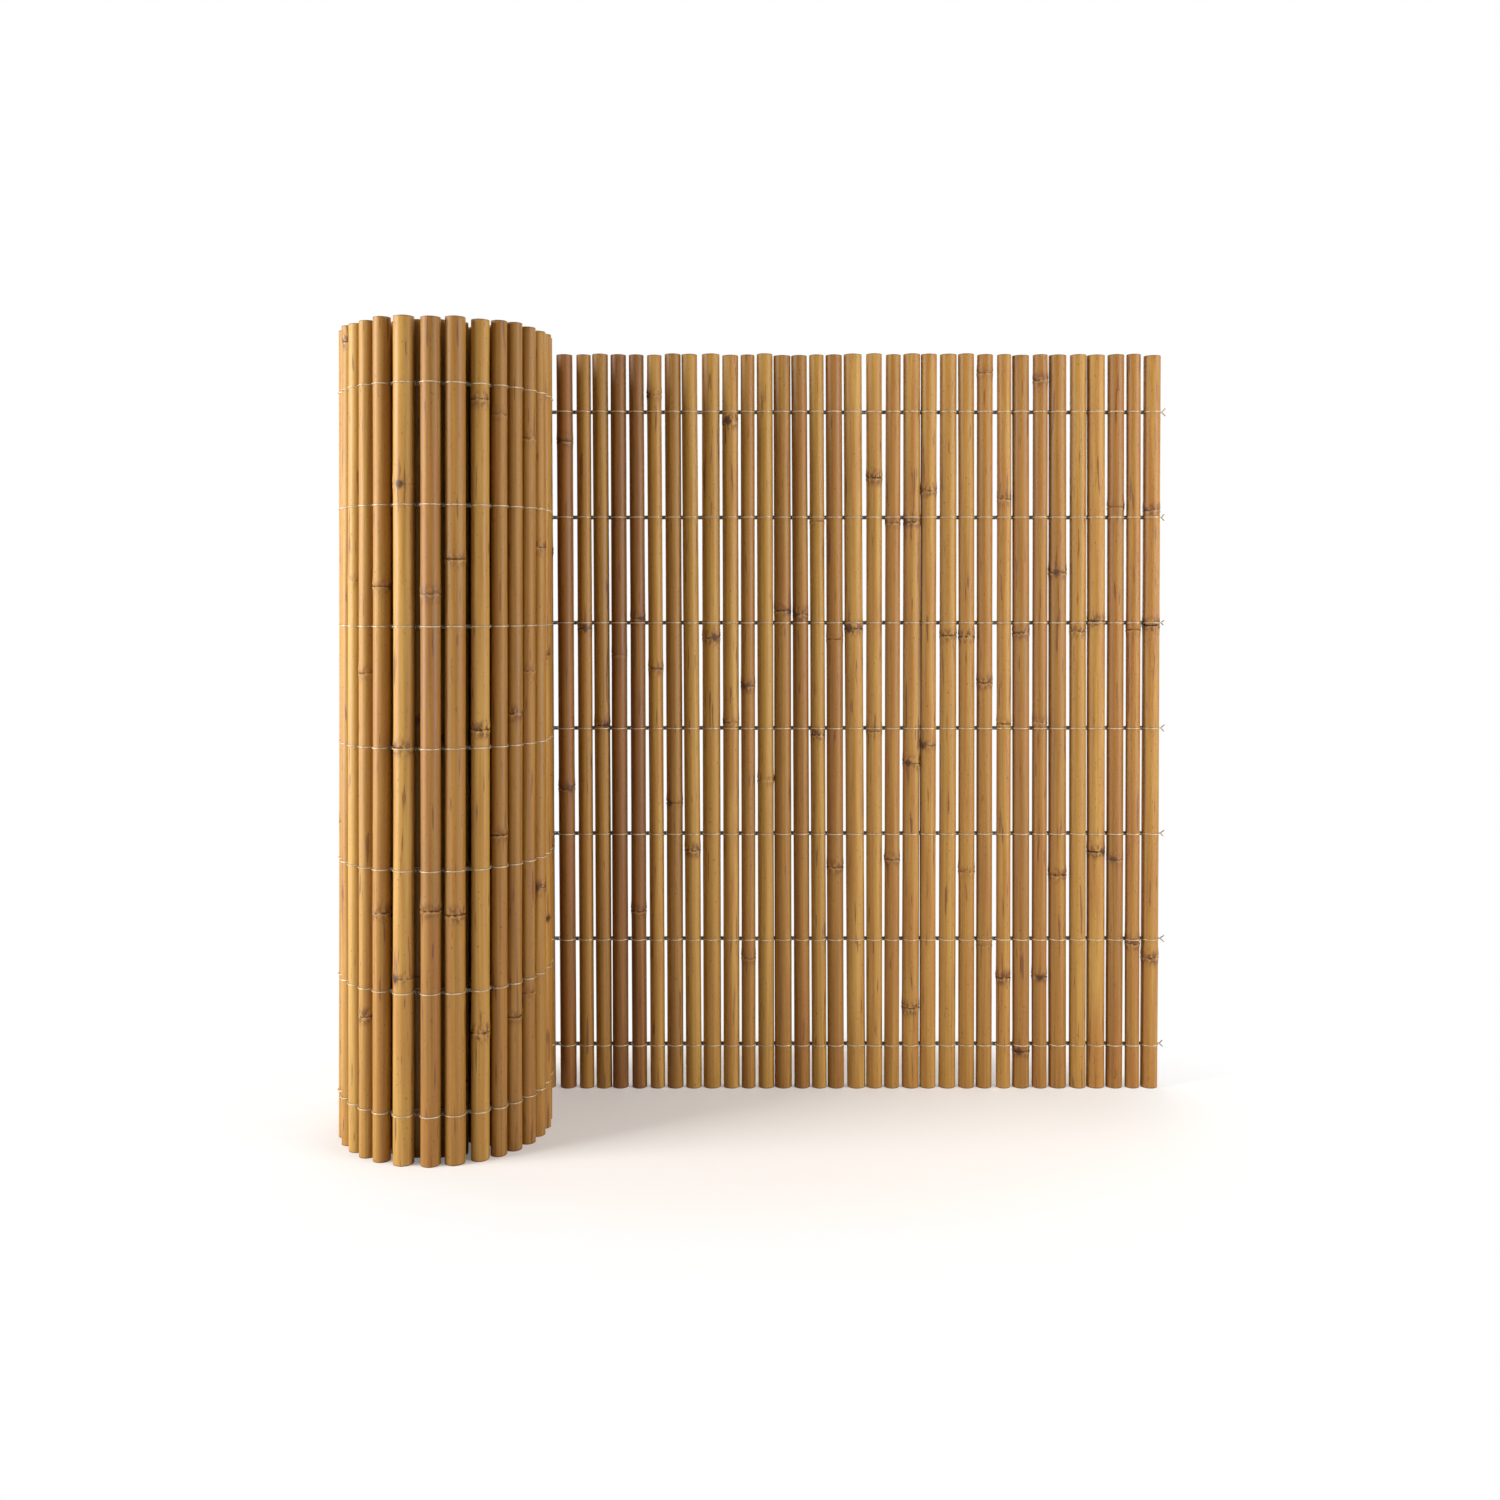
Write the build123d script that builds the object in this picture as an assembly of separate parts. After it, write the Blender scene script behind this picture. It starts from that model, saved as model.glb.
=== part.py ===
from build123d import *
import math
import os
import random

# Bamboo cane screening, part rolled and part unrolled, standing on the feet of its canes.
# Millimetres. +X runs along the flat stretch, -Y is the front, +Z is up.

# Driving sizes of the canes
cane_length = 1000.0
cane_wall = 4.0
joint_rise = 0.7
joint_lip = 6.0
top_trim = 2.5
first_lean = -5.5

# Driving sizes of the wire rows
wire_diameter = 1.6
row_count = 7
foot_margin = 58.0
top_margin = 79.0

# Driving sizes of the roll
roll_reach = 145.9
turn_pitch = 27.0
core_reach = 43.0
inner_cane_gap = 4.4
inner_cane_thinnest = 19.0
inner_cane_thickest = 21.5
inner_end_tail = 6.0

# Faces around a cane: fewer on those inside the roll
cane_sides = 8
inner_cane_sides = 6
bore_sides = 6

# Canes of the flat stretch, from the roll to the free end:
# diameter, gap to the next cane at the foot, the same gap at the top, heights of the joints
flat_schedule = [
    (20.5, 6.5, 7.0, (255.0, 640.0)),
    (21.0, 7.0, 6.0, (410.0, 800.0)),
    (20.0, 6.5, 7.0, (180.0, 545.0)),
    (21.5, 7.0, 6.5, (330.0, 730.0)),
    (21.5, 5.0, 6.0, (408.0, 881.0)),
    (19.0, 3.5, 2.5, (626.0,)),
    (21.0, 1.5, 4.0, (494.0,)),
    (21.0, 5.5, 4.0, (590.0,)),
    (20.0, 5.0, 5.0, (241.0, 639.0)),
    (19.5, 3.5, 4.5, (571.0, 944.0)),
    (21.5, 4.0, 1.5, (388.0,)),
    (21.0, 3.0, 7.0, (324.0,)),
    (23.5, 4.0, 4.5, (613.0,)),
    (21.0, 3.5, 4.0, (498.0, 908.0)),
    (18.5, 4.5, 3.5, (177.0, 548.0)),
    (21.0, 1.5, 2.0, (419.0,)),
    (22.5, 4.0, 1.5, (650.0,)),
    (21.0, 3.0, 3.5, (645.0,)),
    (19.5, 2.0, 3.0, (481.0, 772.0)),
    (22.0, 5.0, 3.0, (301.0, 611.0)),
    (24.0, 2.0, 6.5, (626.0,)),
    (21.0, 3.0, 6.0, (486.0, 831.0)),
    (20.0, 4.5, 4.0, (311.0, 770.0)),
    (22.5, 1.5, 1.5, (109.0, 442.0, 771.0)),
    (21.5, 4.5, 4.5, (467.0, 813.0)),
    (22.5, 4.5, 2.5, (616.0,)),
    (21.0, 3.0, 5.0, (295.0, 615.0)),
    (21.0, 6.5, 6.0, (194.0, 552.0, 974.0)),
    (18.5, 4.0, 2.5, (150.0, 496.0, 802.0)),
    (22.0, 4.5, 6.0, (50.0, 620.0)),
    (19.5, 3.5, 2.5, (151.0, 498.0, 964.0)),
    (23.5, 4.5, 5.5, (290.0, 702.0)),
    (22.0, 2.0, 1.5, (622.0,)),
    (23.5, 2.5, 4.5, (322.0, 636.0)),
    (22.0, 4.0, 3.5, (311.0, 791.0)),
    (18.5, 3.0, 5.5, (197.0, 624.0)),
    (22.5, 0.0, 0.0, (177.0, 630.0, 787.0)),
]

# Canes of the roll's outer turn, from the back round by the left to the front and the right:
# diameter, gap to the next cane, heights of the joints
outer_schedule = [
    (20.5, 4.5, (520.0,)),
    (21.5, 5.0, (700.0,)),
    (19.5, 4.5, (340.0,)),
    (21.0, 5.0, (610.0,)),
    (20.0, 4.5, (455.0,)),
    (22.0, 5.0, (780.0,)),
    (20.0, 4.5, (270.0,)),
    (21.0, 5.0, (570.0,)),
    (19.5, 4.5, (830.0,)),
    (21.0, 5.0, (390.0,)),
    (20.0, 4.5, (980.0,)),
    (20.0, 3.0, (688.0,)),
    (20.5, 3.0, (169.0, 578.0)),
    (20.5, 6.0, (295.0, 681.0)),
    (24.5, 8.0, (220.0, 491.0, 801.0)),
    (23.5, 4.5, (300.0, 672.0)),
    (23.5, 6.5, (294.0, 713.0)),
    (21.0, 3.5, (152.0, 511.0, 903.0)),
    (19.0, 3.0, (384.0, 887.0)),
    (19.5, 4.0, (162.0, 528.0)),
    (20.0, 4.5, (185.0, 578.0, 863.0)),
    (20.0, 4.5, (309.0, 730.0)),
    (20.5, 4.0, (264.0, 595.0)),
    (21.5, 4.5, (440.0,)),
    (20.0, 4.0, (690.0,)),
    (21.0, 4.5, (365.0,)),
    (20.5, 4.4, (560.0,)),
]

# Worked out from the driving sizes
row_pitch = (cane_length - foot_margin - top_margin) / (row_count - 1)
row_heights = [foot_margin + row * row_pitch for row in range(row_count)]
flat_front = roll_reach - max(diameter for diameter, *rest in flat_schedule)
turn_names = ["outer_turn_canes", "second_turn_canes", "third_turn_canes", "inner_turn_canes"]
trims = random.Random(11)


def ring(width, sides, x, y, z, facing):
    """A level polygon across a cane, with one flat facing the given direction in degrees."""
    outline = RegularPolygon(width / 2, sides, major_radius=False, rotation=facing + 180 / sides)
    return Pos(x, y, z) * outline


def culm(diameter, foot, top, facing, joints):
    """A hollow cane: each joint is a short lip, and the cane thins slowly above it."""
    length = cane_length - trims.uniform(0, top_trim)
    slim = diameter - 2 * joint_rise
    levels = [(0, slim)]
    for height in joints:
        if joint_lip < height < length:
            levels += [(height - joint_lip, slim), (height, diameter)]
    levels += [(length, slim)]

    def section(width, sides, height):
        share = height / cane_length
        x = foot[0] + (top[0] - foot[0]) * share
        y = foot[1] + (top[1] - foot[1]) * share
        return ring(width, sides, x, y, height, facing)

    body = loft([section(width, cane_sides, height) for height, width in levels], ruled=True)
    bore_width = slim - 2 * cane_wall
    bore = loft([section(bore_width, bore_sides, height) for height in (0, length)], ruled=True)
    return body - bore


def wound_place(angle, diameter):
    """Centre of a rolled cane whose outer face lies on the spiral at that wound angle."""
    reach = roll_reach - turn_pitch * angle / (2 * math.pi) - diameter / 2
    return (-reach * math.sin(angle), reach * math.cos(angle))


def wound_step(angle, spacing):
    """Turn of the spiral between two canes at that spacing."""
    reach = math.hypot(*wound_place(angle, spacing))
    return 2 * math.asin(spacing / (2 * reach))


def place_flat():
    """Foot and top of each cane of the flat stretch."""
    places = []
    foot_x = flat_schedule[0][0] / 2 + flat_schedule[0][1] / 2 - min(first_lean, 0)
    top_x = foot_x + first_lean
    for number, (diameter, foot_gap, top_gap, joints) in enumerate(flat_schedule):
        if number:
            before, foot_before, top_before, joints_before = flat_schedule[number - 1]
            foot_x += (before + diameter) / 2 + foot_before
            top_x += (before + diameter) / 2 + top_before
        y = flat_front + diameter / 2
        places.append((diameter, (foot_x, y), (top_x, y), joints))
    return places


def place_wound():
    """Diameter, wound angle and joints of every cane of the roll, from the outside in to its core."""
    inner = random.Random(5)
    places = []
    waiting = list(outer_schedule)
    angle = 0.0
    edge = flat_schedule[0][1] / 2
    while angle < 2 * math.pi * (roll_reach - core_reach) / turn_pitch:
        thickness = inner.uniform(inner_cane_thinnest, inner_cane_thickest) if not waiting else 0
        diameter, gap, joints = waiting.pop(0) if waiting else (thickness, inner_cane_gap, ())
        angle += wound_step(angle, edge + diameter / 2)
        places.append((diameter, angle, joints))
        edge = diameter / 2 + gap
    return places


def corner(first, second):
    """Where the wire lines along two neighbouring cane faces meet, each as (angle, reach)."""
    turn = second[0] - first[0]
    along = (second[1] - first[1] * math.cos(turn)) / math.sin(turn)
    x = -first[1] * math.sin(first[0]) - along * math.cos(first[0])
    y = first[1] * math.cos(first[0]) - along * math.sin(first[0])
    return (x, y)


def wire_row(height, flat, wound):
    """One row: across the fronts, round the free end, along the backs and round the roll inwards."""
    half = wire_diameter / 2
    end_diameter, end_foot, end_top, end_joints = flat[-1]
    end_lean = (end_top[0] - end_foot[0]) * height / cane_length
    end_x = end_foot[0] + end_lean + end_diameter / 2 + half
    front_y = flat_front - half
    back_reach = roll_reach + half
    faces = [(0.0, back_reach)]
    for diameter, angle, joints in wound:
        reach = math.hypot(*wound_place(angle, diameter)) + diameter / 2 + half
        faces.append((angle, reach))
    start_x = flat[0][1][0] - flat[0][0] / 2
    points = [(start_x, front_y), (end_x, front_y), (end_x, back_reach)]
    points += [corner(first, second) for first, second in zip(faces, faces[1:])]
    last_angle, last_reach = faces[-1]
    last_x = -last_reach * math.sin(last_angle) - inner_end_tail * math.cos(last_angle)
    last_y = last_reach * math.cos(last_angle) - inner_end_tail * math.sin(last_angle)
    points.append((last_x, last_y))
    path = Polyline(*[(x, y, height) for x, y in points])
    section = Plane(origin=path @ 0, x_dir=(0, 1, 0), z_dir=(1, 0, 0))
    profile = section * Polygon((half, -half), (half, half), (-half, 0), align=None)
    return sweep(profile, path=path, transition=Transition.RIGHT)


flat = place_flat()
wound = place_wound()
nodes = {}
for number, (diameter, foot, top, joints) in enumerate(flat, start=1):
    nodes[f"flat_cane_{number:02d}"] = [culm(diameter, foot, top, 0.0, joints)]

for number, (diameter, angle, joints) in enumerate(wound):
    place = wound_place(angle, diameter)
    facing = math.degrees(angle) + 90
    if number < len(outer_schedule):
        turn = turn_names[0]
        cane = culm(diameter, place, place, facing, joints)
    else:
        turn = turn_names[min(max(int(angle / (2 * math.pi)), 1), len(turn_names) - 1)]
        length = cane_length - trims.uniform(0, top_trim)
        cane = extrude(ring(diameter, inner_cane_sides, *place, 0, facing), length)
    nodes.setdefault(turn, []).append(cane)

for number, height in enumerate(row_heights, start=1):
    nodes[f"wire_row_{number}"] = [wire_row(height, flat, wound)]

# The origin is under the middle of the whole, on the ground
whole = Compound(children=[piece.solid() for pieces in nodes.values() for piece in pieces])
box = whole.bounding_box()
center = Pos(-box.center().X, -box.center().Y, 0)
os.makedirs("parts", exist_ok=True)
for name, pieces in nodes.items():
    solids = [center * piece.solid() for piece in pieces]
    export_step(solids[0] if len(solids) == 1 else Compound(children=solids), f"parts/{name}.step")
print("size", box.size)
print("roll centre", center.position)
print("turns", wound[-1][1] / (2 * math.pi))
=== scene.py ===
import math
import random

import bmesh
import bpy
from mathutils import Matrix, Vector, kdtree, noise


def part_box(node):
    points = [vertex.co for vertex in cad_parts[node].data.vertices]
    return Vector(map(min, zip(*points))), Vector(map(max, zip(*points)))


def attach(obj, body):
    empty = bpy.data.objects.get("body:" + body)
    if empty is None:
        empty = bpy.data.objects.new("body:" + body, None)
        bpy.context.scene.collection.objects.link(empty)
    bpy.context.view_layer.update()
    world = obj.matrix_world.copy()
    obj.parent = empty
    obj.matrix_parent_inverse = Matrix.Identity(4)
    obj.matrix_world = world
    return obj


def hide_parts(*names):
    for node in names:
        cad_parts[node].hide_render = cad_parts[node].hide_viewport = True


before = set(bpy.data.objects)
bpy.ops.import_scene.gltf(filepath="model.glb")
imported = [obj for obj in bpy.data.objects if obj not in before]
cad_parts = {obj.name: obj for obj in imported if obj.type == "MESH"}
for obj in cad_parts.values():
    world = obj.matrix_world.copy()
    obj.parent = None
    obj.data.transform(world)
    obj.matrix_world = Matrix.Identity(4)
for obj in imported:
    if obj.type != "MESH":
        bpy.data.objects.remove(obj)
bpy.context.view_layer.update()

# Bamboo cane screening: hollow canes with joints, laced in seven rows by pairs of thin galvanised wire.
# Metres, in the frame of the solids: +X along the flat stretch, -Y the front, +Z up.
MM = 0.001
TURN = 2 * math.pi
UP = Vector((0, 0, 1))
ROLL_MIDDLE = Vector((-399.25, -6.70, 0)) * MM

# The solid canes: faces around a jointed one and around a plain one, and how far a joint's lip stands out
SOLID_SIDES = 8
PLAIN_SIDES = 6
SOLID_RISE = 0.7 * MM
SAME_POINT = 0.01 * MM

# Round canes: they are a little fuller than the solids' flats
CANE_SIDES = 24
CANE_STEP = 75 * MM
CANE_WALL = 3.6 * MM
BORE_DEPTH = 45 * MM
END_BAND = 2.2 * MM
FULLER = 0.3 * MM
CREASE = math.radians(50)

# How far a grown cane strays from a straight round cane
BOW_ALONG = 0.3 * MM
BOW_ACROSS = 0.9 * MM
KINK = 0.35 * MM
KINK_ACROSS = 2
OVAL = 0.010
UNEVEN = 0.16 * MM
UNEVEN_WAVES = 9
SEEDS = (1, 40)

# The first canes in view beside the roll get a lower tone, which is painted shade from the roll
ROLL_SHADED_CANES = [f"flat_cane_{number:02d}" for number in range(5, 10)]
ROLL_SHADE_DEPTH = 0.6

# Joints of the canes inside the roll: how many, how far apart and how high the lowest is, in mm
INNER_JOINTS = (2, 3)
INNER_PITCH = (290, 390)
INNER_LOWEST = (60, 330)

# Joints of all canes: shares of the usual swelling, of the scar's darkness and of the bud's depth
JOINT_SWELL = (0.6, 2.0)
JOINT_SCAR = (0.3, 1.0)
BUD_DEPTH = (0.5, 1.0)
BUD_SHARE = 0.7

# A bud and its groove, and the reach of a joint's marks along the cane, in mm apart from the rise
BUD_RISE = 0.9 * MM
BUD_ABOVE = 2.0
BUD_REACH = 4.5
BUD_BACK = 14.0
JOINT_REACH = 60.0

# Rings around a joint: height from the scar line and how far the skin stands out, in mm
JOINT_RINGS = [
    (-JOINT_REACH, 0.0),
    (-30.0, 0.0),
    (-14.0, 0.0),
    (-6.0, 0.08),
    (-2.2, 0.34),
    (-0.8, 0.55),
    (0.0, 0.05),
    (1.0, 0.15),
    (3.5, 0.48),
    (7.0, 0.30),
    (14.0, 0.06),
    (30.0, 0.0),
    (JOINT_REACH, 0.0),
]

# What each point of the skin knows, for the material: plain numbers, and threes of numbers
NUMBERS = ("around", "bud", "end")
THREES = ("own", "joint", "nature_and_shade")

# Wire rows: two strands that swap sides in every gap
WIRE = 1.55 * MM
ROW_COUNT = 7
WRAP_ANGLES = [math.radians(angle) for angle in (-64, -42, -20, 0, 20, 42, 64)]
TWIST_POINTS = 13
TWIST_TURNS = 1.5
TWIST_REACH = 2.1 * MM
TWIST_SHORTEST = 3.6 * MM
# Reach of the painted shade round each twist in a gap and at the free end
TWIST_SHADE_REACH = 4.5 * MM

# Loose tails at the free end: length, gap to the cane, where the strands cross, and how far the tips spread
TAIL = 6.5 * MM
TAIL_GAP = 0.7 * MM
TAIL_CROSSING = 2.2 * MM
TAIL_SPREAD = (0.45, 0.9)
TAIL_ONWARD = (0.5, 1.0)

# Grain of the bamboo skin: width across and length along the cane in mm, and fineness.
# Fibres are finer than the render shows, so the streaks are drawn as coarse as they need to show.
SKIN_GRAINS = {
    "streak": (3.2, 170, 4.0),
    "ruddy": (9, 140, 3.0),
    "slit": (5, 70, 2.0),
    "fleck": (2.5, 4, 2.0),
    "wobble": (6, 14, 3.0),
    "blotch": (4, 8, 4.0),
}
LINE_STRAY = 4.0
RUDDY = 0.5

# Other patterns: a cut bundle of fibres, and a patch of weathered zinc
FIBRE_BUNDLE = 0.9 * MM
ZINC_PATCH = 5 * MM

# Studio: half the floor's width, the oval that keeps the shadow, and the room's light
FLOOR_REACH = 30.0
SHADOW_WIDTH = 0.58
SHADOW_DEPTH = 0.30
WHITE = (1, 1, 1, 1)
ROOM_LIGHT = 0.05


def read_canes(name):
    """The canes of a solid node, each measured from the points of its level rings."""
    build = bmesh.new()
    build.from_mesh(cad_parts[name].data)
    bmesh.ops.remove_doubles(build, verts=build.verts, dist=SAME_POINT)
    canes = []
    seen = set()
    for start in build.verts:
        if start in seen:
            continue
        seen.add(start)
        island = [start]
        for vert in island:
            for edge in vert.link_edges:
                other = edge.other_vert(vert)
                if other not in seen:
                    seen.add(other)
                    island.append(other)
        canes.append(measure_cane(name, [vert.co.copy() for vert in island]))
    build.free()
    return canes


def measure_cane(name, points):
    """Foot, top, thickness and joint heights of one cane."""
    levels = {}
    for point in points:
        levels.setdefault(round(point.z, 4), []).append(point)
    heights = sorted(levels)
    foot = sum(levels[heights[0]], Vector()) / len(levels[heights[0]])
    top = sum(levels[heights[-1]], Vector()) / len(levels[heights[-1]])
    plain = len(points) == 2 * PLAIN_SIDES
    flat_share = math.cos(math.pi / (PLAIN_SIDES if plain else SOLID_SIDES))

    def reach(height):
        middle = foot.lerp(top, (height - foot.z) / (top.z - foot.z))
        return max((point - middle).length for point in levels[height]) * flat_share

    slim = reach(heights[0])
    joints = [height for height in heights[1:-1] if reach(height) > slim + SOLID_RISE / 2]
    radius = FULLER + (slim if plain else slim + SOLID_RISE)
    return {"node": name, "foot": foot, "top": top, "radius": radius, "joints": joints, "plain": plain}


def outward_of(cane):
    """The side of a cane that faces out of the roll, which is the back of the flat stretch."""
    if cane["node"].startswith("flat"):
        return Vector((0, 1, 0))
    away = cane["foot"] - ROLL_MIDDLE
    return Vector((away.x, away.y, 0)).normalized()


def wound_order(cane):
    """Place of a cane along the roll: the spiral's outer faces come steadily nearer the middle."""
    away = cane["foot"] - ROLL_MIDDLE
    return -(math.hypot(away.x, away.y) + cane["radius"])


def give_character(cane, chance):
    """What one cane was given: its own tone, bow and kinks, and the joints' swelling, scars and buds; the
    canes beside the roll get a lower tone as painted shade from the roll.
    """
    out = cane["out"] = outward_of(cane)
    on = cane["on"] = out.cross(-UP)
    cane["seed"] = chance.uniform(*SEEDS)
    # The canes beside the roll have their tone lowered: painted shade from the roll
    cane["tone"] = chance.random() - (ROLL_SHADE_DEPTH if cane["node"] in ROLL_SHADED_CANES else 0)
    cane["hue"] = chance.random()
    cane["oval_angle"] = chance.uniform(0, TURN)
    cane["bow"] = out * chance.uniform(-BOW_ACROSS, BOW_ACROSS) + on * chance.uniform(-BOW_ALONG, BOW_ALONG)
    heights = cane["joints"]
    if cane["plain"]:
        pitch = chance.uniform(*INNER_PITCH) * MM
        lowest = chance.uniform(*INNER_LOWEST) * MM
        heights = [lowest + number * pitch for number in range(chance.randint(*INNER_JOINTS))]
    cane["joints"] = [
        {
            "height": height,
            "swell": chance.uniform(*JOINT_SWELL),
            "scar": chance.uniform(*JOINT_SCAR),
            "bud": chance.uniform(0, TURN),
            "budded": chance.uniform(*BUD_DEPTH) if chance.random() < BUD_SHARE else 0.0,
            "way": chance.choice((-1, 1)),
            "kink": (out * chance.uniform(-KINK_ACROSS, KINK_ACROSS) + on * chance.uniform(-1, 1)) * KINK,
        }
        for height in heights
        if height < cane["top"].z
    ]


def middle_at(cane, height):
    """Centre of the cane at a height, with its lean, its slight bow and its kinks at the joints."""
    share = (height - cane["foot"].z) / (cane["top"].z - cane["foot"].z)
    middle = cane["foot"].lerp(cane["top"], share) + cane["bow"] * math.sin(math.pi * share)
    bends = [(0.0, Vector())] + [(joint["height"], joint["kink"]) for joint in cane["joints"]]
    bends.append((cane["top"].z, Vector()))
    for (low, low_bend), (high, high_bend) in zip(bends, bends[1:]):
        if low <= height <= high:
            middle += low_bend.lerp(high_bend, (height - low) / (high - low))
    middle.z = height
    return middle


def nearest_joint(cane, height):
    """The joint nearest to a height, and how far above it the height is, in mm."""
    joint = min(cane["joints"], key=lambda joint: abs(height - joint["height"]))
    return joint, (height - joint["height"]) / MM


def swell_at(cane, height):
    """How far the nearest joint makes the skin stand out at a height."""
    joint, offset = nearest_joint(cane, height)
    for (low, low_rise), (high, high_rise) in zip(JOINT_RINGS, JOINT_RINGS[1:]):
        if low <= offset <= high:
            share = (offset - low) / (high - low)
            return joint["swell"] * (low_rise + (high_rise - low_rise) * share) * MM
    return 0.0


def radius_at(cane, height, angle):
    """Radius of the cane's plain skin at a height, towards an angle."""
    oval = 1 + OVAL * math.cos(2 * (angle - cane["oval_angle"]))
    spot = Vector((cane["seed"], math.cos(angle), height * UNEVEN_WAVES))
    return cane["radius"] * oval + noise.noise(spot) * UNEVEN


def ring_heights(cane):
    """Heights of the rings of one cane, close together round its joints."""
    top = cane["top"].z
    steps = int(top / CANE_STEP)
    heights = {top * step / steps for step in range(1, steps)}
    for joint in cane["joints"]:
        low, high = joint["height"] - JOINT_REACH * MM, joint["height"] + JOINT_REACH * MM
        heights = {height for height in heights if not low < height < high}
    for joint in cane["joints"]:
        heights.update(joint["height"] + offset * MM for offset, rise in JOINT_RINGS)
    kept = sorted(height for height in heights if 2 * END_BAND < height < top - 2 * END_BAND)
    return [0.0, END_BAND] + kept + [top - END_BAND, top]


def settle_ring(ring, layers, cane, height):
    """Puts a new ring of skin in place and gives it its marks."""
    middle = middle_at(cane, height)
    joint, offset = nearest_joint(cane, height)
    swell = swell_at(cane, height)
    near = max(0.0, 1 - abs(offset) / JOINT_REACH)
    grooved = near if offset * joint["way"] >= 0 else max(0.0, 1 - abs(offset) / BUD_BACK)
    for vert in ring:
        angle = vert[layers["around"]]
        radius = radius_at(cane, height, angle) + swell
        aside = radius / MM * math.sin(angle - joint["bud"])
        facing = math.cos(angle - joint["bud"])
        if joint["budded"] and facing > 0:
            radius += BUD_RISE * max(0.0, 1 - math.hypot(aside, offset - BUD_ABOVE) / BUD_REACH)
        spoke = Vector((math.cos(angle), math.sin(angle), 0)) * radius
        vert.co = middle + spoke
        vert[layers["own"]] = spoke + UP * (height + cane["seed"])
        vert[layers["joint"]] = (offset, aside, facing)
        vert[layers["nature_and_shade"]] = (cane["tone"], cane["hue"], near * joint["scar"])
        vert[layers["bud"]] = grooved * joint["budded"]
        vert[layers["end"]] = max(0.0, 1 - min(height, cane["top"].z - height) / END_BAND)


def draw_on(build, edges, material):
    """Draws a ring of edges on to a new ring, and gives the new ring's points and edges."""
    drawn = bmesh.ops.extrude_edge_only(build, edges=edges)["geom"]
    for face in drawn:
        if isinstance(face, bmesh.types.BMFace):
            face.material_index = material
            face.smooth = True
    ring = [item for item in drawn if isinstance(item, bmesh.types.BMVert)]
    kept = set(ring)
    edges = [item for item in drawn if isinstance(item, bmesh.types.BMEdge) and set(item.verts) <= kept]
    return ring, edges


def grow_cane(build, layers, cane):
    """A hollow cane: its skin is a ring drawn up through every height, then turned in at both sawn ends."""
    heights = ring_heights(cane)
    circle = bmesh.ops.create_circle(build, cap_ends=False, segments=CANE_SIDES, radius=cane["radius"])
    ring = circle["verts"]
    for vert in ring:
        vert[layers["around"]] = math.atan2(vert.co.y, vert.co.x)
    foot_edges = top_edges = list({edge for vert in ring for edge in vert.link_edges})
    settle_ring(ring, layers, cane, heights[0])
    for height in heights[1:]:
        ring, top_edges = draw_on(build, top_edges, 0)
        settle_ring(ring, layers, cane, height)
    for edges, end, depth in ((foot_edges, heights[0], BORE_DEPTH), (top_edges, heights[-1], -BORE_DEPTH)):
        for height in (end, end + depth):
            ring, edges = draw_on(build, edges, 1)
            for vert in ring:
                angle = vert[layers["around"]]
                spoke = Vector((math.cos(angle), math.sin(angle), 0)) * (cane["radius"] - CANE_WALL)
                vert.co = middle_at(cane, end) + spoke + UP * (height - end)
        for face in bmesh.ops.contextual_create(build, geom=edges)["faces"]:
            face.material_index = 1


def make_piece(name, mesh, node):
    """Shows a mesh as a piece of the screening, in place of a solid node."""
    piece = bpy.data.objects.new(name, mesh)
    bpy.context.scene.collection.objects.link(piece)
    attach(piece, "root")
    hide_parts(node)


def add_canes(node, canes, materials):
    """One piece with all the canes of a solid node."""
    build = bmesh.new()
    known = build.verts.layers
    for name in NUMBERS:
        known.float.new(name)
    for name in THREES:
        known.float_vector.new(name)
    layers = {name: known.float[name] for name in NUMBERS}
    layers.update({name: known.float_vector[name] for name in THREES})
    for cane in canes:
        grow_cane(build, layers, cane)
    bmesh.ops.recalc_face_normals(build, faces=build.faces)
    mesh = bpy.data.meshes.new("culms_" + node)
    build.to_mesh(mesh)
    build.free()
    mesh.set_sharp_from_angle(angle=CREASE)
    for material in materials:
        mesh.materials.append(material)
    make_piece("culms_" + node, mesh, node)


def over_cane(cane, height, side):
    """A strand's way over one side of a cane."""
    middle = middle_at(cane, height)
    points = []
    for angle in WRAP_ANGLES:
        way = cane["out"] * (side * math.cos(angle)) + cane["on"] * math.sin(angle)
        radius = radius_at(cane, height, math.atan2(way.y, way.x)) + swell_at(cane, height) + WIRE / 2
        points.append(middle + way * radius)
    return points


def round_twin(cane, following, height, side):
    """The turns of a strand round its twin, in the gap between two canes, which swap the strands' sides."""
    start = middle_at(cane, height)
    end = middle_at(following, height)
    onward = (end - start).normalized()
    across = UP.cross(onward)
    near = start + onward * cane["radius"]
    far = end - onward * following["radius"]
    length = max((far - near).length, TWIST_SHORTEST)
    points = []
    for step in range(TWIST_POINTS):
        share = (step + 0.5) / TWIST_POINTS
        turned = TURN * TWIST_TURNS * share
        offset = UP * math.sin(turned) - across * math.cos(turned)
        points.append((near + far) / 2 + onward * (length * (share - 0.5)) + offset * (side * TWIST_REACH))
    return points


def free_tail(cane, height, side, chance):
    """The end of a strand beyond the last cane: it crosses its twin, and the cut tip is bent up or down."""
    out, on = cane["out"], cane["on"]
    edge = middle_at(cane, height) - on * cane["radius"]
    spread = UP * side * chance.uniform(*TAIL_SPREAD)
    crossing = edge - on * TAIL_CROSSING - out * (side * WIRE / 2)
    tip = crossing + (spread - on * chance.uniform(*TAIL_ONWARD)) * TAIL
    return [tip, crossing.lerp(tip, 0.5), crossing, edge - on * TAIL_GAP + out * (side * WIRE)]


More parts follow.
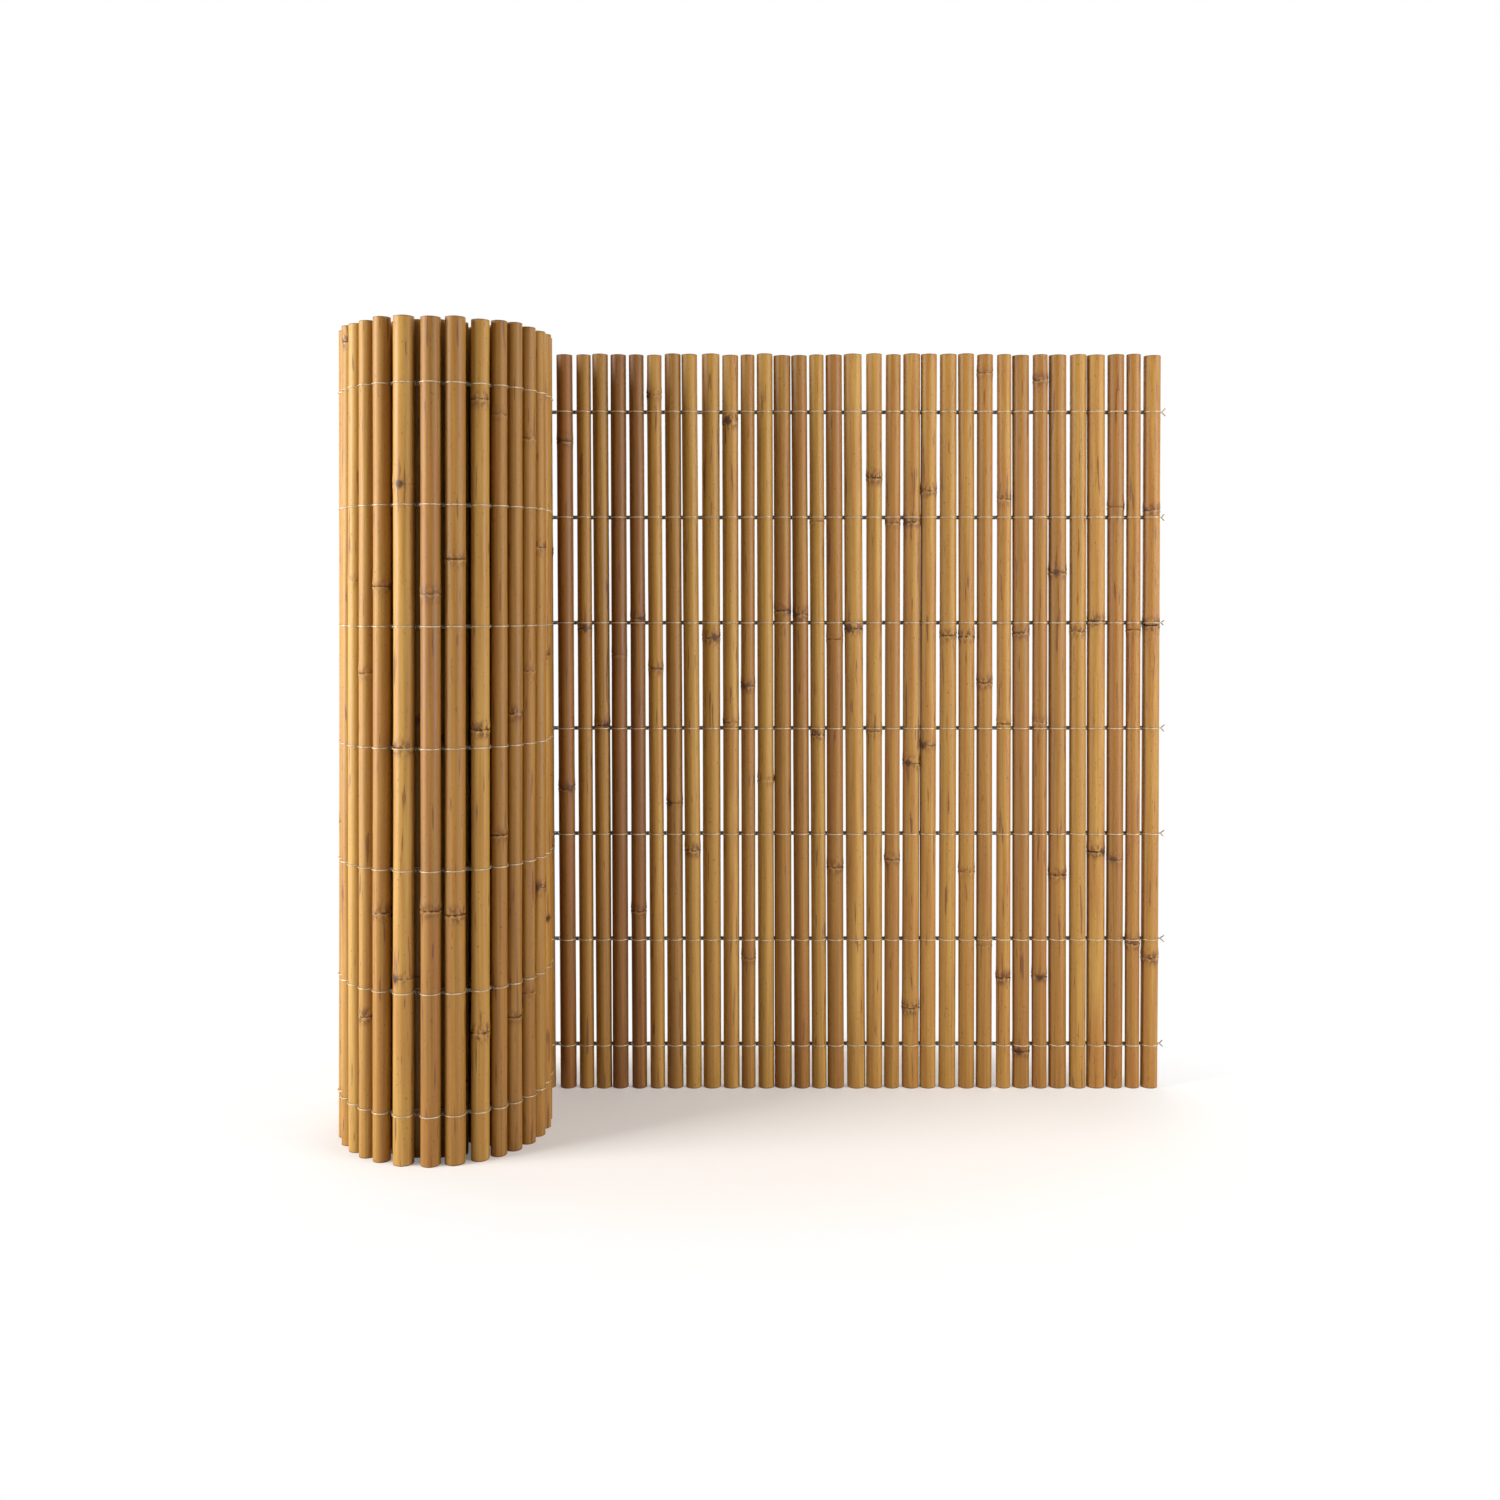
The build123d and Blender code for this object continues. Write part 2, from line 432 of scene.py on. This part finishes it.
def paint_twist_shade(mesh, strip, height):
    """Marks the wire that lies twisted in a gap or cut at the free end, where painted shade makes it dark."""
    gaps = kdtree.KDTree(len(strip))
    gaps.insert(middle_at(strip[0], height) - strip[0]["on"] * (strip[0]["radius"] + TAIL), 0)
    for number, (cane, following) in enumerate(zip(strip, strip[1:]), start=1):
        start, end = middle_at(cane, height), middle_at(following, height)
        pitch = (end - start).length
        share = (cane["radius"] + pitch - following["radius"]) / 2 / pitch
        gaps.insert(start.lerp(end, share), number)
    gaps.balance()
    marks = mesh.attributes.new("twist_shade", "FLOAT", "POINT")
    for mark, vert in zip(marks.data, mesh.vertices):
        away = gaps.find(vert.co)[2]
        mark.value = max(0.0, min(1.0, 2 - 2 * away / TWIST_SHADE_REACH))


def add_wire_row(node, strip, material, chance):
    """One row of wire: two strands, each a tube over and under the canes."""
    low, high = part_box(node)
    height = (low.z + high.z) / 2
    curve = bpy.data.curves.new(node, "CURVE")
    curve.dimensions = "3D"
    curve.bevel_depth = WIRE / 2
    curve.bevel_resolution = 1
    curve.use_fill_caps = True
    for side in (1, -1):
        points = free_tail(strip[0], height, side, chance)
        for cane, following in zip(strip, strip[1:]):
            points += over_cane(cane, height, side)
            points += round_twin(cane, following, height, side)
        points += over_cane(strip[-1], height, side)
        spline = curve.splines.new("POLY")
        spline.points.add(len(points) - 1)
        for laid, point in zip(spline.points, points):
            laid.co = (*point, 1)
        spline.use_smooth = True
    path = bpy.data.objects.new(node + "_path", curve)
    mesh = bpy.data.meshes.new_from_object(path)
    bpy.data.objects.remove(path)
    paint_twist_shade(mesh, strip, height)
    mesh.materials.clear()
    mesh.materials.append(material)
    make_piece("strands_" + node, mesh, node)


def paint(code):
    """Linear colour of an sRGB hex value."""
    channels = [int(code[place:place + 2], 16) / 255 for place in (1, 3, 5)]
    linear = [value / 12.92 if value <= 0.04045 else ((value + 0.055) / 1.055) ** 2.4 for value in channels]
    return (*linear, 1.0)


def add(tree, kind, inputs, **settings):
    """Adds a shader node with its settings, fills its inputs with values or sockets, and gives its outputs."""
    made = tree.nodes.new("ShaderNode" + kind)
    for name, value in settings.items():
        setattr(made, name, value)
    for key, value in inputs.items():
        if isinstance(value, bpy.types.NodeSocket):
            tree.links.new(value, made.inputs[key])
        else:
            made.inputs[key].default_value = value
    return made.outputs


def new_material(name):
    """An empty material and its node tree."""
    material = bpy.data.materials.new(name)
    material.use_nodes = True
    material.node_tree.nodes.clear()
    return material, material.node_tree


def skin_grains(tree):
    """The noises of the skin, each drawn out along the cane that it lies on."""
    own = add(tree, "Attribute", {}, attribute_name="own")["Vector"]
    grains = {}
    for name, (width, length, detail) in SKIN_GRAINS.items():
        finer = (1 / (width * MM), 1 / (width * MM), 1 / (length * MM))
        place = add(tree, "VectorMath", {0: own, 1: finer}, operation="MULTIPLY")[0]
        grains[name] = add(tree, "TexNoise", {"Vector": place, "Scale": 1.0, "Detail": detail})["Fac"]
    return grains


def skin_tone(tree, streak, tone):
    """The cane's tone, from deep brown to pale honey, with fine streaks; for the canes beside the roll it
    holds painted shade from the roll.
    """
    depth = add(tree, "Math", {0: streak, 1: 0.85, 2: -0.18}, operation="MULTIPLY_ADD")[0]
    depth = add(tree, "Math", {0: tone, 1: 0.5, 2: depth}, operation="MULTIPLY_ADD")[0]
    color = add(tree, "ValToRGB", {"Fac": depth})[0]
    tones = color.node.color_ramp.elements
    tones[0].color = paint("#744818")
    tones[1].color = paint("#c0974a")
    tones.new(0.5).color = paint("#a1752d")
    return color


def skin_marks(tree, grain, hue, scar):
    """The marks on the skin, from the lowest layer up: tint, strength, and where each one starts and is full.
    Places round a joint are in mm, and its line strays up and down by a few of them."""
    joint = add(tree, "Attribute", {}, attribute_name="joint")["Vector"]
    offset, side, facing = add(tree, "SeparateXYZ", {0: joint})
    bud = add(tree, "Attribute", {}, attribute_name="bud")["Fac"]
    end = add(tree, "Attribute", {}, attribute_name="end")["Fac"]
    spread = {0: grain["wobble"], 1: 2 * LINE_STRAY, 2: -LINE_STRAY}
    stray = add(tree, "Math", spread, operation="MULTIPLY_ADD")[0]
    along = add(tree, "Math", {0: offset, 1: stray}, operation="ADD")[0]
    away = add(tree, "Math", {0: along}, operation="ABSOLUTE")[0]
    aside = add(tree, "Math", {0: stray, 1: 0.5, 2: side}, operation="MULTIPLY_ADD")[0]
    aside = add(tree, "Math", {0: aside}, operation="ABSOLUTE")[0]
    from_bud = add(tree, "CombineXYZ", {0: side, 1: along})[0]
    from_bud = add(tree, "VectorMath", {0: from_bud}, operation="LENGTH")["Value"]
    ruddy = add(tree, "Math", {0: hue, 1: RUDDY}, operation="MULTIPLY")[0]
    return {
        "ruddy patches": ("#93551b", ruddy, (grain["ruddy"], 0.35, 0.65)),
        "slits": ("#5c3214", 0.7, (grain["slit"], 0.645, 0.70)),
        "flecks": ("#5d3419", 0.6, (grain["fleck"], 0.66, 0.72)),
        "stain": ("#65380f", 1.0, (away, 16.0, 2.0), (grain["blotch"], 0.40, 0.58), (scar, 0.1, 0.8)),
        "pale collar": ("#d2b070", 0.2, (along, -5.0, -2.0), (along, -0.4, -1.2), (scar, 0.1, 0.6)),
        "broken line": ("#38210a", 1.0, (away, 1.5, 0.3), (grain["wobble"], 0.42, 0.54), (scar, 0.1, 0.7)),
        "bud groove": ("#6d3a10", 0.65, (aside, 2.6, 0.6), (facing, 0.0, 0.3), (bud, 0.3, 0.7)),
        "bud scar": ("#4a290a", 1.0, (from_bud, 7.0, 2.4), (facing, 0.0, 0.3), (bud, 0.2, 0.6)),
        "sawn rim": ("#54361a", 0.7, (end, 0.2, 0.9)),
    }


def bamboo_skin():
    """Dried bamboo skin: satin honey tones with fine streaks along the cane, dark joints and bud scars."""
    material, tree = new_material("bamboo_skin_dried")
    nature_and_shade = add(tree, "Attribute", {}, attribute_name="nature_and_shade")["Vector"]
    tone, hue, scar = add(tree, "SeparateXYZ", {0: nature_and_shade})
    grain = skin_grains(tree)
    color = skin_tone(tree, grain["streak"], tone)
    for tint, share, *fades in skin_marks(tree, grain, hue, scar).values():
        for value, start, full in fades:
            reach = {"Value": value, "From Min": start, "From Max": full, "To Max": share}
            share = add(tree, "MapRange", reach, interpolation_type="SMOOTHSTEP")[0]
        color = add(tree, "Mix", {0: share, 6: color, 7: paint(tint)}, data_type="RGBA")[2]
    satin = {"Value": grain["streak"], "From Min": 0.2, "From Max": 0.8, "To Min": 0.42, "To Max": 0.6}
    rough = add(tree, "MapRange", satin, interpolation_type="SMOOTHSTEP")[0]
    bump = add(tree, "Bump", {"Height": grain["streak"], "Strength": 0.3, "Distance": 0.3 * MM})[0]
    finish = {"Base Color": color, "Roughness": rough, "IOR": 1.45, "Normal": bump}
    skin = add(tree, "BsdfPrincipled", finish)[0]
    add(tree, "OutputMaterial", {"Surface": skin})
    return material


def bamboo_sawn():
    """Sawn bamboo wall and bore: pale, dry and matt, speckled by the cut fibre bundles."""
    material, tree = new_material("bamboo_sawn_end")
    where = add(tree, "TexCoord", {})["Object"]
    bundle = add(tree, "TexVoronoi", {"Vector": where, "Scale": 1 / FIBRE_BUNDLE})["Distance"]
    speckle = {"Value": bundle, "From Min": 0.0, "From Max": 0.7, "To Min": 0.55, "To Max": 0.0}
    share = add(tree, "MapRange", speckle, interpolation_type="SMOOTHSTEP")[0]
    color = add(tree, "Mix", {0: share, 6: paint("#cdb17a"), 7: paint("#8a6236")}, data_type="RGBA")[2]
    sawn = add(tree, "BsdfPrincipled", {"Base Color": color, "Roughness": 0.85, "IOR": 1.45})[0]
    add(tree, "OutputMaterial", {"Surface": sawn})
    return material


def galvanised_wire():
    """Galvanised steel wire: dulled zinc with a soft shine, patchy, and painted dark as shade where it is
    twisted or cut.
    """
    material, tree = new_material("galvanised_steel_wire")
    where = add(tree, "TexCoord", {})["Object"]
    weather = add(tree, "TexNoise", {"Vector": where, "Scale": 1 / ZINC_PATCH, "Detail": 3.0})["Fac"]
    patchy = {"Value": weather, "From Min": 0.3, "From Max": 0.7}
    share = add(tree, "MapRange", patchy, interpolation_type="SMOOTHSTEP")[0]
    color = add(tree, "Mix", {0: share, 6: paint("#a39072"), 7: paint("#cab797")}, data_type="RGBA")[2]
    twist_shade = add(tree, "Attribute", {}, attribute_name="twist_shade")["Fac"]
    # Painted shade: near-black where the wire is twisted in a gap or cut at the free end
    color = add(tree, "Mix", {0: twist_shade, 6: color, 7: paint("#2b2119")}, data_type="RGBA")[2]
    zinc = add(tree, "BsdfPrincipled", {"Base Color": color, "Metallic": 0.35, "Roughness": 0.42})[0]
    add(tree, "OutputMaterial", {"Surface": zinc})
    return material


def seen_or_mirrored(tree):
    """One where the white room is seen, directly, in a shine or through glass, and nought for plain light."""
    ray = add(tree, "LightPath", {})
    seen = add(tree, "Math", {0: ray["Is Camera Ray"], 1: ray["Is Glossy Ray"]}, operation="MAXIMUM")[0]
    return add(tree, "Math", {0: seen, 1: ray["Is Transmission Ray"]}, operation="MAXIMUM")[0]


def pale_floor():
    """A pale studio floor that keeps the soft shadow near the screening and runs out to plain white."""
    material, tree = new_material("pale_studio_floor")
    where = add(tree, "TexCoord", {})["Object"]
    oval = (1 / SHADOW_WIDTH, 1 / SHADOW_DEPTH, 1)
    scaled = add(tree, "VectorMath", {0: where, 1: oval}, operation="MULTIPLY")[0]
    distance = add(tree, "VectorMath", {0: scaled}, operation="LENGTH")["Value"]
    runs_out = {"Value": distance, "From Min": 0.7, "From Max": 1.4, "To Min": 0.14, "To Max": 1.0}
    share = add(tree, "MapRange", runs_out, interpolation_type="SMOOTHSTEP")[0]
    seen = add(tree, "Math", {0: share, 1: seen_or_mirrored(tree)}, operation="MULTIPLY")[0]
    matt = add(tree, "BsdfDiffuse", {"Color": paint("#f5f2ee")})[0]
    white = add(tree, "Emission", {"Color": WHITE, "Strength": 1.0})[0]
    mixed = add(tree, "MixShader", {0: seen, 1: matt, 2: white})[0]
    add(tree, "OutputMaterial", {"Surface": mixed})
    return material


def add_floor():
    """The floor that the canes stand on."""
    build = bmesh.new()
    bmesh.ops.create_grid(build, x_segments=1, y_segments=1, size=FLOOR_REACH)
    mesh = bpy.data.meshes.new("floor")
    build.to_mesh(mesh)
    build.free()
    mesh.materials.append(pale_floor())
    floor = bpy.data.objects.new("floor", mesh)
    bpy.context.scene.collection.objects.link(floor)


def add_lamp(name, place, target, width, height, power):
    """A soft lamp that looks at a point."""
    lamp = bpy.data.lights.new(name, "AREA")
    lamp.shape = "RECTANGLE"
    lamp.size = width
    lamp.size_y = height
    lamp.energy = power
    holder = bpy.data.objects.new(name, lamp)
    holder.location = place
    holder.rotation_euler = (Vector(target) - Vector(place)).to_track_quat("-Z", "Y").to_euler()
    bpy.context.scene.collection.objects.link(holder)


def add_light():
    """Plain soft studio light: a tall lamp at each side, a weak one behind and a wide one overhead."""
    world = bpy.data.worlds.new("white_room")
    bpy.context.scene.world = world
    world.use_nodes = True
    tree = world.node_tree
    tree.nodes.clear()
    dim = add(tree, "Background", {"Color": WHITE, "Strength": ROOM_LIGHT})[0]
    white = add(tree, "Background", {"Color": WHITE, "Strength": 1.0})[0]
    mixed = add(tree, "MixShader", {0: seen_or_mirrored(tree), 1: dim, 2: white})[0]
    add(tree, "OutputWorld", {"Surface": mixed})
    add_lamp("left", place=(-2.65, -0.9, 0.9), target=(-0.2, 0, 0.5), width=1.1, height=2.0, power=117)
    add_lamp("right", place=(2.0, -1.05, 0.9), target=(0.1, 0, 0.5), width=1.1, height=2.0, power=56)
    add_lamp("behind", place=(0.1, 2.8, 1.3), target=(0, 0, 0.4), width=2.6, height=1.6, power=28)
    add_lamp("overhead", place=(0, 0.5, 2.9), target=(0, 0, 0), width=3.0, height=2.2, power=52)


def add_camera():
    """The photograph's view: level, from two thirds of the height, with the frame shifted down."""
    camera = bpy.data.cameras.new("camera")
    camera.sensor_width = 36.0
    camera.lens = 32.25
    camera.shift_y = -0.1013
    holder = bpy.data.objects.new("camera", camera)
    holder.location = Vector((-21.9, -1712.0, 667.0)) * MM
    holder.rotation_euler = (math.radians(90), 0, 0)
    bpy.context.scene.collection.objects.link(holder)
    bpy.context.scene.camera = holder


chance = random.Random(21)
cane_nodes = sorted(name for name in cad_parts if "cane" in name)
canes = {name: read_canes(name) for name in cane_nodes}
for name in cane_nodes:
    for cane in canes[name]:
        give_character(cane, chance)
bamboo = [bamboo_skin(), bamboo_sawn()]
for name in cane_nodes:
    add_canes(name, canes[name], bamboo)

flat = [cane for name in cane_nodes if name.startswith("flat") for cane in canes[name]]
wound = [cane for name in cane_nodes if not name.startswith("flat") for cane in canes[name]]
strip = flat[::-1] + sorted(wound, key=wound_order)
wire = galvanised_wire()
for number in range(1, ROW_COUNT + 1):
    add_wire_row(f"wire_row_{number}", strip, wire, chance)

add_floor()
add_light()
add_camera()
bpy.context.scene.view_settings.view_transform = "Standard"
